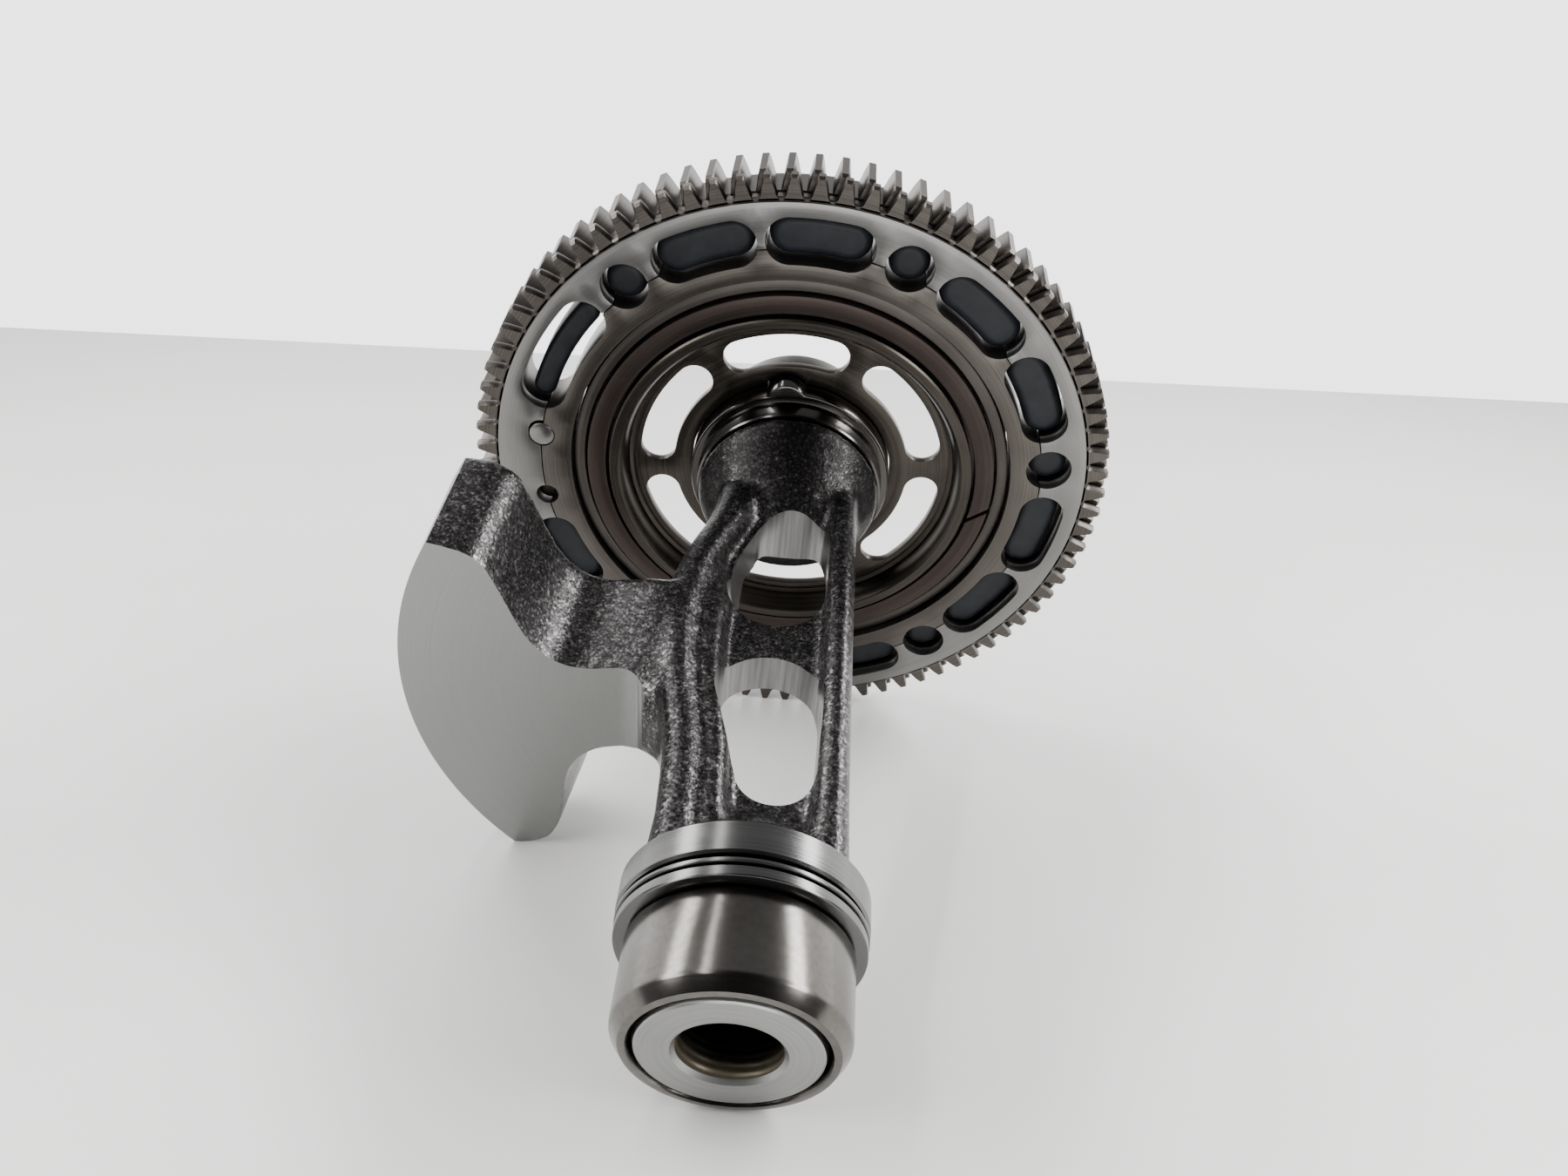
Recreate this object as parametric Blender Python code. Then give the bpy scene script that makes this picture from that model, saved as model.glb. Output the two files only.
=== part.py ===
"""Balance crankshaft of a small engine: a forged one-throw shaft with an offset counterweight, a bearing
race on each end, and a split, rubber-damped gear on a spoked hub.

The shaft's axis is Y. The origin is the centre of the rear end face, the gear is at the rear (+Y) and the
front race points along -Y. The counterweight hangs out towards -X. Sizes are in millimetres until
add_object() turns them into metres. Angles are in degrees from +X towards +Z.
"""

import math

import bmesh
import bpy
from mathutils import Vector
from mathutils.geometry import tessellate_polygon

for old in list(bpy.data.objects):
    bpy.data.objects.remove(old, do_unlink=True)

MM = 0.001
GAP = 0.3  # between pieces that touch

# Overall lengths along the axis
SHAFT_LENGTH = 177.6
GEAR_FACE_Y = -30.0  # front face of the gear plates

# Journals and races
JOURNAL_R = 15.0
RACE_R = 18.75
RACE_LENGTH = 17.2
RACE_CHAMFER = 2.2
END_CHAMFER = 0.6
FRONT_BORE_R = 8.4
FRONT_BORE_DEPTH = 24.0
COLLAR_R = 21.0
COLLAR_LENGTH = 6.4
SPACER_THICK = 0.9
THRUST_THICK = 2.1
RELIEF = 0.4  # narrow groove left between the rings on the front journal

# Gear
TEETH = 84
MODULE = 1.75
TIP_R = MODULE * (TEETH + 2) / 2
ROOT_R = TIP_R - 2.54 * MODULE
TOOTH_ROOT_WIDTH = 2.0 * MODULE
TOOTH_TIP_WIDTH = 0.8 * MODULE
TOOTH_PHASE = 68.25  # a tooth of the anti-backlash gear stands at this angle
TOOTH_OFFSET = 0.8  # the main gear's teeth stand this much further round at rest
PLATE_THICK = 2.8
TOOTH_STEP_R = ROOT_R - 1.0  # the flat front face ends here, in a small step
TOOTH_STEP = 0.4
GEAR_DEPTH = 12.8  # front of the anti-backlash gear to the back of the main gear

# Damper slots, half in the outer gears and half in the inner ring
SEAM_R = 59.6
SLOT_R = 61.25
SLOT_HALF_WIDTH = 5.24
SLOT_REACH = 6.05  # from a slot's middle to the centre of its end arc
LONG_SLOT_REACH = 9.45
ROUND_PHASE = 10.3
SLOT_STEP = 18.3  # from a round hole to the slots beside it
LONG_SLOT_ANGLE = 152.5
DOWEL_ANGLE = 174.0
DOWEL_R = 3.0
PLATE_PLAY = 0.8  # how far the anti-backlash gear turns before it meets the dowel pin, degrees
WINDUP = 0.6  # room for the main gear each way round the dowel pin, degrees
TOOL_HOLE_ANGLE = 190.8
TOOL_HOLE_R = 2.65
DAMPER_CLEAR = 0.7
DAMPER_FRONT = 3.6
DAMPER_BACK = 12.2
DAMPER_CROWN = 1.6
NARROW_DAMPER_HALF = 2.6

# Inner ring, rings in the hub's groove, and the hub
INNER_RING_R = 52.4
SNAP_R = (49.1, 51.0)
SNAP_Y = (2.3, 3.9)
SPLIT_R = (44.2, 48.6)
SPLIT_Y = (0.5, 4.2)
SPLIT_ANGLE = -6.0
SPLIT_GAP = 1.6
SPLIT_SLANT = 5.0
RIM_R = (40.8, 43.3)
RIM_PROUD = 0.4
GROOVE_DEPTH = 4.6
DISH_R = 38.8
WEB_RECESS = 5.6
WEB_THICK = 2.0
KIDNEY_R = (28.2, 36.5)
KIDNEY_COUNT = 6
KIDNEY_PHASE = 36.5
KIDNEY_REACH = 16.2
SEAT_R = 23.7
SEAT_LENGTH = 9.9
BORE_CHAMFER = 1.4
BOSS_R = 26.0
LOBE_ANGLE = 96.6
LOBE_R = 4.0
LOBE_CENTRE = 21.8
NOTCH_R = 5.0

# Forged middle of the shaft
DISC_R = 21.5
DISC_FRONT = 4.75  # in front of the gear face
NECK_R = 12.5
NECK_LENGTH = 9.0
WEB_HALF = 4.3
RIB_HEIGHT = 8.8
RIGHT_RIB_X = 13.1
RIGHT_RIB_HALF = 3.3
FRONT_DISC_R = 17.0

# Counterweight
WEIGHT_R = 71.2
WEIGHT_FRONT = 76.1  # in front of the gear face
WEIGHT_THICK = 23.7
WEIGHT_TOP_ANGLE = 152.2
WEIGHT_END_ANGLE = 223.0
WEIGHT_DRAFT = 3.0

ROUND_SEGMENTS = 48
COLLAR_FRONT_Y = -SHAFT_LENGTH + RACE_LENGTH + END_CHAMFER + THRUST_THICK + SPACER_THICK + 3 * RELIEF
COLLAR_BACK_Y = COLLAR_FRONT_Y + COLLAR_LENGTH
SEAT_FRONT_Y = GEAR_FACE_Y + 0.7
SEAT_BACK_Y = SEAT_FRONT_Y + SEAT_LENGTH
DISC_Y = GEAR_FACE_Y - DISC_FRONT


def polar(radius, angle):
    return (radius * math.cos(math.radians(angle)), radius * math.sin(math.radians(angle)))


def arc(centre, radius, start, end, steps):
    """Points on an arc, both ends included, angles in degrees."""
    points = []
    for i in range(steps + 1):
        x, z = polar(radius, start + (end - start) * i / steps)
        points.append((centre[0] + x, centre[1] + z))
    return points


def circle(radius, steps=ROUND_SEGMENTS, centre=(0.0, 0.0)):
    return arc(centre, radius, 0, 360, steps)[:-1]


def material(name, colour, roughness, metallic):
    made = bpy.data.materials.get(name)
    if made is None:
        made = bpy.data.materials.new(name)
        made.use_nodes = True
        shader = made.node_tree.nodes["Principled BSDF"]
        shader.inputs["Base Color"].default_value = (*colour, 1.0)
        shader.inputs["Roughness"].default_value = roughness
        shader.inputs["Metallic"].default_value = metallic
        made.diffuse_color = (*colour, 1.0)
    return made


FORGED = material("forged_steel", (0.06, 0.055, 0.055), 0.45, 0.9)
GROUND = material("ground_steel", (0.42, 0.41, 0.40), 0.2, 1.0)
RACE = material("race_steel", (0.24, 0.22, 0.21), 0.12, 1.0)
SILVER = material("silver_plate", (0.38, 0.37, 0.36), 0.35, 1.0)
GEAR = material("gear_steel", (0.2, 0.18, 0.165), 0.35, 1.0)
HUB = material("hub_steel", (0.09, 0.08, 0.07), 0.4, 0.9)
FRICTION = material("friction_ring", (0.1, 0.06, 0.055), 0.5, 0.4)
RUBBER = material("damper_rubber", (0.012, 0.013, 0.017), 0.55, 0.0)


def add_object(name, points, faces, made_of=None):
    """A closed mesh object from points in millimetres."""
    mesh = bpy.data.meshes.new(name)
    mesh.from_pydata([Vector(p) * MM for p in points], [], faces)
    tidy = bmesh.new()
    tidy.from_mesh(mesh)
    bmesh.ops.recalc_face_normals(tidy, faces=tidy.faces)
    tidy.to_mesh(mesh)
    tidy.free()
    mesh.validate()
    obj = bpy.data.objects.new(name, mesh)
    bpy.context.scene.collection.objects.link(obj)
    if made_of:
        mesh.materials.append(made_of)
        mesh.shade_smooth()
        mesh.set_sharp_from_angle(angle=math.radians(30))
    else:
        obj.hide_render = True
        obj.display_type = "WIRE"
    return obj


def turned(name, profile, made_of=None, segments=ROUND_SEGMENTS):
    """A ring or a solid turned about Y from a closed profile of (radius, y)."""
    points, rows = [], []
    for radius, y in profile:
        if radius == 0:
            rows.append([len(points)] * segments)
            points.append((0, y, 0))
            continue
        rows.append(range(len(points), len(points) + segments))
        for x, z in circle(radius, segments):
            points.append((x, y, z))
    faces = []
    for row, following in zip(rows, rows[1:] + rows[:1]):
        for i in range(segments):
            j = (i + 1) % segments
            corners = (row[i], row[j], following[j], following[i])
            face = list(dict.fromkeys(corners))
            if len(face) > 2:
                faces.append(face)
    return add_object(name, points, faces, made_of)


def loft(name, loops, made_of=None):
    """A solid through closed loops of 3-D points, all with as many points, with flat ends."""
    count = len(loops[0])
    points = [point for loop in loops for point in loop]
    faces = [list(range(count)), list(range(len(points) - count, len(points)))]
    for row in range(len(loops) - 1):
        for i in range(count):
            j = (i + 1) % count
            low = row * count
            faces.append([low + i, low + j, low + count + j, low + count + i])
    return add_object(name, points, faces, made_of)


def plate(name, levels, made_of=None):
    """A flat piece with holes. levels runs front to back: each is (y, outer, holes), outlines in (x, z).

    Neighbouring levels share outlines, either the outer one or the holes, so each step is a flat face.
    """
    points, loops = [], {}

    def place(outline, y):
        key = (id(outline), y)
        if key not in loops:
            loops[key] = range(len(points), len(points) + len(outline))
            points.extend((x, y, z) for x, z in outline)
        return loops[key]

    faces = []

    def cap(outer, holes, y):
        outlines = [outer] + list(holes)
        order = [i for outline in outlines for i in place(outline, y)]
        flat = [[Vector((x, z, 0)) for x, z in outline] for outline in outlines]
        faces.extend([order[i] for i in face] for face in tessellate_polygon(flat))

    def wall(outline, front, back):
        near, far = place(outline, front), place(outline, back)
        for i in range(len(outline)):
            j = (i + 1) % len(outline)
            faces.append([near[i], near[j], far[j], far[i]])

    for i, (y, outer, holes) in enumerate(levels):
        if i == 0:
            cap(outer, holes, y)
        elif outer is not levels[i - 1][1]:
            cap(outer, [levels[i - 1][1]], y)
        if i + 1 < len(levels):
            back = levels[i + 1][0]
            wall(outer, y, back)
            for hole in holes:
                wall(hole, y, back)
        else:
            last = levels[i - 1]
            cap(last[1], last[2], y)
    return add_object(name, points, faces, made_of)


def apply_boolean(target, other, operation):
    modifier = target.modifiers.new(operation.title(), "BOOLEAN")
    modifier.operation = operation
    modifier.solver = "EXACT"
    modifier.object = other
    bpy.context.view_layer.update()
    mesh = bpy.data.meshes.new_from_object(target.evaluated_get(bpy.context.evaluated_depsgraph_get()))
    target.modifiers.remove(modifier)
    target.data = mesh
    bpy.data.objects.remove(other, do_unlink=True)
    return target


def finish(obj, made_of):
    obj.hide_render = False
    obj.display_type = "TEXTURED"
    obj.data.materials.clear()
    obj.data.materials.append(made_of)
    obj.data.shade_smooth()
    obj.data.set_sharp_from_angle(angle=math.radians(30))
    return obj


# ---- Damper slots ----

def end_split(seam, centre_r, half_width):
    """How far round a slot's end arc, from straight out, the arc meets the seam circle."""
    cosine = (seam**2 - centre_r**2 - half_width**2) / (2 * centre_r * half_width)
    return math.degrees(math.acos(cosine))


def slot_side(seam, angle, reach, outward, centre_r=SLOT_R, half_width=SLOT_HALF_WIDTH, steps=4, back=None):
    """The part of a slot's outline on one side of the seam, by rising angle."""
    back = reach if back is None else back
    split = end_split(seam, centre_r, half_width)
    far = 0 if outward else 180
    edge_r = centre_r + (half_width if outward else -half_width)
    low, high = angle - back, angle + reach
    points = arc(polar(centre_r, low), half_width, low - split, low - far, steps)
    edge_steps = max(1, round((high - low) / 4))
    points += [polar(edge_r, low + (high - low) * i / edge_steps) for i in range(1, edge_steps)]
    last_arc = arc(polar(centre_r, high), half_width, high + far, high + split, steps)
    points += last_arc if high > low else last_arc[1:]
    return points


def seam_outline(seam, features, outward):
    """The seam circle with every slot's and hole's near half cut out of it."""
    points = []
    for i, feature in enumerate(features):
        points += slot_side(seam, outward=outward, **feature)
        following = features[(i + 1) % len(features)]
        start = math.degrees(math.atan2(points[-1][1], points[-1][0]))
        first = slot_side(seam, outward=outward, **following)[0]
        end = math.degrees(math.atan2(first[1], first[0]))
        span = (end - start) % 360
        steps = max(1, round(span / 5))
        points += [polar(seam, start + span * k / steps) for k in range(1, steps)]
    return points


round_angles = [ROUND_PHASE + 60 * i for i in (0, 1, 2, 4, 5)]
slot_angles = [(ROUND_PHASE + 60 * i + side * SLOT_STEP) % 360 for i in range(6) for side in (-1, 1)]
regular_slots = [a for a in slot_angles if abs(a - LONG_SLOT_ANGLE) > 6 and abs(a - DOWEL_ANGLE) > 6]

slots = [dict(angle=a, reach=SLOT_REACH) for a in regular_slots]
slots.append(dict(angle=LONG_SLOT_ANGLE, reach=LONG_SLOT_REACH))
rounds = [dict(angle=a % 360, reach=0.0, steps=6) for a in round_angles]
tool_hole = dict(angle=TOOL_HOLE_ANGLE, reach=0.0, centre_r=SEAM_R, half_width=TOOL_HOLE_R)
dowel_in_ring = dict(angle=DOWEL_ANGLE, reach=0.0, centre_r=SEAM_R, half_width=DOWEL_R + GAP)
dowel_in_plate = dict(dowel_in_ring, back=PLATE_PLAY)
dowel_in_gear = dict(dowel_in_ring, reach=WINDUP, back=WINDUP)


def by_angle(features):
    return sorted(features, key=lambda feature: feature["angle"])


# ---- Gears ----

def tooth_outline(phase):
    points = []
    root = math.degrees(TOOTH_ROOT_WIDTH / 2 / ROOT_R)
    tip = math.degrees(TOOTH_TIP_WIDTH / 2 / TIP_R)
    for tooth in range(TEETH):
        angle = phase + tooth * 360 / TEETH
        points += [polar(ROOT_R, angle - root), polar(TIP_R, angle - tip)]
        points += [polar(TIP_R, angle + tip), polar(ROOT_R, angle + root)]
    return points


plate_seam = seam_outline(SEAM_R, by_angle(slots + rounds + [tool_hole, dowel_in_plate]), True)
near_teeth = tooth_outline(TOOTH_PHASE)
step_circle = circle(TOOTH_STEP_R, 84)
plate("antilash_gear", [
    (GEAR_FACE_Y, step_circle, [plate_seam]),
    (GEAR_FACE_Y + TOOTH_STEP, near_teeth, [plate_seam]),
    (GEAR_FACE_Y + PLATE_THICK, near_teeth, [plate_seam]),
], SILVER)

gear_seam = seam_outline(SEAM_R, by_angle(slots + rounds + [tool_hole, dowel_in_gear]), True)
far_teeth = tooth_outline(TOOTH_PHASE + TOOTH_OFFSET)
main_front = GEAR_FACE_Y + PLATE_THICK + GAP
main_back = GEAR_FACE_Y + GEAR_DEPTH
plate("main_gear", [(main_front, far_teeth, [gear_seam]), (main_back, far_teeth, [gear_seam])], GEAR)

dowel_outline = circle(DOWEL_R, 16, polar(SEAM_R, DOWEL_ANGLE))
plate("dowel_pin", [(GEAR_FACE_Y, dowel_outline, []), (main_back, dowel_outline, [])], GROUND)

# ---- Inner ring and the rings in front of the hub's flange ----

ring_outer = seam_outline(SEAM_R - GAP, by_angle(slots + rounds + [tool_hole, dowel_in_ring]), False)
ring_bore = circle(INNER_RING_R)
plate("inner_damper_ring", [
    (GEAR_FACE_Y, ring_outer, [ring_bore]),
    (main_back, ring_outer, [ring_bore]),
], GEAR)


def square_ring(name, radii, depths, made_of):
    inner, outer = radii
    front, back = (GEAR_FACE_Y + depth for depth in depths)
    return turned(name, [(outer, front), (outer, back), (inner, back), (inner, front)], made_of)


square_ring("hub_snap_ring", SNAP_R, SNAP_Y, GROUND)

half_gap = math.degrees(SPLIT_GAP / 2 / SPLIT_R[1])
outer_end = SPLIT_ANGLE + SPLIT_SLANT / 2
inner_end = SPLIT_ANGLE - SPLIT_SLANT / 2
split_outline = arc((0, 0), SPLIT_R[1], outer_end + half_gap, outer_end - half_gap + 360, 40)
split_outline += arc((0, 0), SPLIT_R[0], inner_end - half_gap + 360, inner_end + half_gap, 40)
plate("split_friction_ring", [
    (GEAR_FACE_Y + SPLIT_Y[0], split_outline, []),
    (GEAR_FACE_Y + SPLIT_Y[1], split_outline, []),
], FRICTION)

# ---- Rubber dampers ----

def slot_loop(angle, reach, half_width, centre_r=SLOT_R, steps=5):
    low, high = angle - reach, angle + reach
    points = arc(polar(centre_r, high), half_width, high, high + 180, steps)
    if reach:
        points.append(polar(centre_r - half_width, angle))
    points += arc(polar(centre_r, low), half_width, low + 180, low + 360, steps)[0 if reach else 1:]
    if reach:
        points.append(polar(centre_r + half_width, angle))
    else:
        points.pop()
    return points


def damper(name, angle, reach, half_width):
    """A block with a crowned front that fills its slot in the main gear and the inner ring."""
    loops = []
    for inset, depth in ((DAMPER_CROWN, 0), (DAMPER_CROWN * 0.25, DAMPER_CROWN * 0.35), (0, DAMPER_CROWN)):
        loops.append((GEAR_FACE_Y + DAMPER_FRONT + depth, inset))
    loops.append((GEAR_FACE_Y + DAMPER_BACK, 0))
    solid = [[(x, y, z) for x, z in slot_loop(angle, reach, half_width - inset)] for y, inset in loops]
    return loft(name, solid, RUBBER)


for number, feature in enumerate(by_angle(slots), 1):
    narrow = feature["angle"] == LONG_SLOT_ANGLE
    half = NARROW_DAMPER_HALF if narrow else SLOT_HALF_WIDTH - DAMPER_CLEAR
    reach = feature["reach"] + (1.2 if narrow else 0.0)
    damper(f"slot_damper_{number:02d}", feature["angle"], reach, half)
for number, feature in enumerate(by_angle(rounds), 1):
    damper(f"round_damper_{number}", feature["angle"], 0.0, SLOT_HALF_WIDTH - DAMPER_CLEAR)

# ---- Hub ----

web_front = GEAR_FACE_Y + WEB_RECESS
web_back = web_front + WEB_THICK
flange_front = GEAR_FACE_Y + GROOVE_DEPTH
hub_profile = [
    (RIM_R[1], GEAR_FACE_Y - RIM_PROUD),
    (RIM_R[1], flange_front),
    (INNER_RING_R - GAP, flange_front),
    (INNER_RING_R - GAP, main_back),
    (DISH_R + 2.0, main_back),
    (DISH_R, web_back),
    (BOSS_R, web_back),
    (BOSS_R, SEAT_BACK_Y),
    (SEAT_R + GAP, SEAT_BACK_Y),
    (SEAT_R + GAP, web_front + BORE_CHAMFER),
    (SEAT_R + GAP + BORE_CHAMFER, web_front),
    (DISH_R, web_front),
    (DISH_R + 0.6, web_front - 1.2),
    (RIM_R[0], GEAR_FACE_Y - RIM_PROUD),
]
hub = turned("gear_hub", hub_profile, None, 60)
kidney_r = (KIDNEY_R[0] + KIDNEY_R[1]) / 2
kidney_half = (KIDNEY_R[1] - KIDNEY_R[0]) / 2
for i in range(KIDNEY_COUNT):
    outline = []
    middle = KIDNEY_PHASE + i * 360 / KIDNEY_COUNT
    low, high = middle - KIDNEY_REACH, middle + KIDNEY_REACH
    outline += arc(polar(kidney_r, high), kidney_half, high, high + 180, 6)
    outline += arc((0, 0), KIDNEY_R[0], high, low, 4)[1:-1]
    outline += arc(polar(kidney_r, low), kidney_half, low + 180, low + 360, 6)
    outline += arc((0, 0), KIDNEY_R[1], low, high, 4)[1:-1]
    cutter = plate(f"kidney_cutter_{i}", [(web_front - 1, outline, []), (web_back + 1, outline, [])])
    apply_boolean(hub, cutter, "DIFFERENCE")
notch_centre = polar(LOBE_CENTRE + GAP, LOBE_ANGLE)
notch = circle(NOTCH_R, 20, notch_centre)
notch_cutter = plate("notch_cutter", [(web_front - 1, notch, []), (SEAT_BACK_Y + 1, notch, [])])
apply_boolean(hub, notch_cutter, "DIFFERENCE")
finish(hub, HUB)

# ---- Shaft ----

journals = turned("balance_shaft", [
    (0, 0),
    (JOURNAL_R - END_CHAMFER, 0),
    (JOURNAL_R, -END_CHAMFER),
    (JOURNAL_R, SEAT_BACK_Y),
    (SEAT_R, SEAT_BACK_Y),
    (SEAT_R, SEAT_FRONT_Y),
    (DISC_R + 0.7, SEAT_FRONT_Y),
    (DISC_R + 0.7, DISC_Y + 1.6),
    (DISC_R, DISC_Y),
    (NECK_R, DISC_Y - NECK_LENGTH * 0.3),
    (NECK_R * 0.75, DISC_Y - NECK_LENGTH),
    (0, DISC_Y - NECK_LENGTH),
])
lobe = circle(LOBE_R, 20, polar(LOBE_CENTRE, LOBE_ANGLE))
lobe_solid = plate("lobe", [(SEAT_FRONT_Y + 0.2, lobe, []), (SEAT_BACK_Y - 0.2, lobe, [])])
apply_boolean(journals, lobe_solid, "UNION")

front = turned("front_journal", [
    (0, COLLAR_BACK_Y + 16.0),
    (FRONT_DISC_R * 0.55, COLLAR_BACK_Y + 13.0),
    (FRONT_DISC_R * 0.9, COLLAR_BACK_Y + 5.0),
    (FRONT_DISC_R, COLLAR_BACK_Y),
    (COLLAR_R - END_CHAMFER, COLLAR_BACK_Y),
    (COLLAR_R, COLLAR_BACK_Y - END_CHAMFER),
    (COLLAR_R, COLLAR_FRONT_Y),
    (JOURNAL_R, COLLAR_FRONT_Y),
    (JOURNAL_R, -SHAFT_LENGTH + END_CHAMFER),
    (JOURNAL_R - END_CHAMFER, -SHAFT_LENGTH),
    (FRONT_BORE_R + END_CHAMFER, -SHAFT_LENGTH),
    (FRONT_BORE_R, -SHAFT_LENGTH + END_CHAMFER),
    (FRONT_BORE_R, -SHAFT_LENGTH + FRONT_BORE_DEPTH),
    (0, -SHAFT_LENGTH + FRONT_BORE_DEPTH + 4.0),
])


def rib(name, stations, height):
    """A forged rib: oval sections at stations of (y, middle x, half width)."""
    loops = []
    for y, middle, half in stations:
        loops.append([(middle + x * half, y, z * height) for x, z in circle(1.0, 12)])
    return loft(name, loops)


rib_back = DISC_Y + 1.0
rib_front = COLLAR_BACK_Y - 0.5
span = rib_back - rib_front
right_rib = rib("right_rib", [
    (rib_back, RIGHT_RIB_X - 2.0, RIGHT_RIB_HALF * 1.2),
    (rib_back - 0.15 * span, RIGHT_RIB_X - 0.4, RIGHT_RIB_HALF),
    (rib_front, RIGHT_RIB_X, RIGHT_RIB_HALF),
], RIB_HEIGHT)
left_rib = rib("left_rib", [
    (rib_back, -9.0, 6.0),
    (rib_back - 0.15 * span, -11.2, 7.2),
    (rib_back - 0.28 * span, -16.2, 6.0),
    (rib_back - 0.42 * span, -17.6, 6.2),
    (rib_back - 0.60 * span, -16.8, 6.2),
    (rib_back - 0.73 * span, -13.4, 7.4),
    (rib_back - 0.82 * span, -10.8, 6.6),
    (rib_front, -10.4, 6.4),
], RIB_HEIGHT)

web_outline = [(-14.0, DISC_Y - 0.5), (12.0, DISC_Y - 0.5), (12.0, rib_front), (-10.0, rib_front),
               (-17.0, rib_back - 0.6 * span), (-17.0, rib_back - 0.35 * span)]
web_solid = loft("web", [[(x, y, z) for x, y in web_outline] for z in (-WEB_HALF, WEB_HALF)])

weight_front = GEAR_FACE_Y - WEIGHT_FRONT
weight_back = weight_front + WEIGHT_THICK


def weight_outline(draft, radius):
    """Fan-shaped counterweight outline in (x, z): the outer arc, the lower horn, the arm and the crown."""
    outer = arc((0, 0), radius, WEIGHT_TOP_ANGLE, WEIGHT_END_ANGLE, 14)
    horn = [(-47.6, -47.8), (-43.4, -46.0), (-41.0 + draft, -41.5), (-40.0 + draft, -31.0),
            (-38.6 + draft, -21.5 + draft * 0.4)]
    under_arm = [(-34.5 + draft, -16.6 + draft * 0.3), (-28.5, -14.3), (-8.0, -13.2)]
    over_arm = [(-8.0, 9.2 + draft), (-28.5, 7.6 + draft), (-37.5, 6.4 + draft), (-43.5, 9.6 + draft)]
    crown = [(-48.6, 20.6 + draft), (-51.2, 27.4 + draft), (-55.2, 31.8 + draft), (-60.0, 33.2 + draft)]
    return outer + horn + under_arm + over_arm + crown


weight = loft("counterweight", [
    [(x, weight_front, z) for x, z in weight_outline(0.0, WEIGHT_R)],
    [(x, weight_back, z) for x, z in weight_outline(WEIGHT_DRAFT, WEIGHT_R)],
])

shaft = apply_boolean(journals, web_solid, "UNION")
for piece in (right_rib, left_rib, weight, front):
    apply_boolean(shaft, piece, "UNION")


def egg(first, first_r, second, second_r, steps=7):
    """Outline around two circles, as (x, y), by the common tangents of the two."""
    dx, dy = second[0] - first[0], second[1] - first[1]
    along = math.degrees(math.atan2(dy, dx))
    lean = math.degrees(math.acos((first_r - second_r) / math.hypot(dx, dy)))
    points = arc(first, first_r, along + lean, along + 360 - lean, steps)
    points += arc(second, second_r, along - lean, along + lean, steps)
    return points


def window(name, top, bottom):
    reach = RIB_HEIGHT + 3.0
    loops = [[(x, y, -reach) for x, y in bottom], [(x, y, reach) for x, y in top]]
    return loft(name, loops)


def ahead(y):
    """y measured forward from the gear face."""
    return GEAR_FACE_Y - y


rear_window = window(
    "rear_window",
    egg((2.2, ahead(28.0)), 7.6, (-1.8, ahead(45.4)), 11.4),
    egg((4.4, ahead(27.6)), 7.0, (3.4, ahead(47.0)), 8.0),
)
front_window = window(
    "front_window",
    egg((0.3, ahead(75.9)), 10.3, (3.3, ahead(95.6)), 7.0),
    egg((0.3, ahead(75.9)), 10.0, (3.3, ahead(95.6)), 7.0),
)
apply_boolean(shaft, rear_window, "DIFFERENCE")
apply_boolean(shaft, front_window, "DIFFERENCE")
finish(shaft, FORGED)

# ---- Races and rings on the journals ----

race_bore = JOURNAL_R + GAP


def race(name, nose_y, tail_y):
    """A plain race. The nose is its chamfered outer end."""
    inward = 1 if tail_y > nose_y else -1
    return turned(name, [
        (RACE_R - RACE_CHAMFER * 0.75, nose_y),
        (RACE_R, nose_y + inward * RACE_CHAMFER),
        (RACE_R, tail_y - inward * END_CHAMFER),
        (RACE_R - END_CHAMFER, tail_y),
        (race_bore, tail_y),
        (race_bore, nose_y),
    ], RACE)


front_race_back = -SHAFT_LENGTH + RACE_LENGTH
race("front_race", -SHAFT_LENGTH + 0.1, front_race_back)
race("rear_race", -0.1, -RACE_LENGTH)
thrust_front = front_race_back + RELIEF
thrust_back = thrust_front + THRUST_THICK
turned("thrust_washer", [
    (COLLAR_R - 0.3, thrust_front), (COLLAR_R - 0.3, thrust_back), (race_bore, thrust_back),
    (race_bore, thrust_front),
], GROUND)
spacer_front = thrust_back + RELIEF
turned("spacer_ring", [
    (COLLAR_R - 0.1, spacer_front), (COLLAR_R - 0.1, spacer_front + SPACER_THICK),
    (race_bore, spacer_front + SPACER_THICK), (race_bore, spacer_front),
], GROUND)
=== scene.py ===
import math

import bmesh
import bpy
from mathutils import Matrix, Vector


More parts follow.
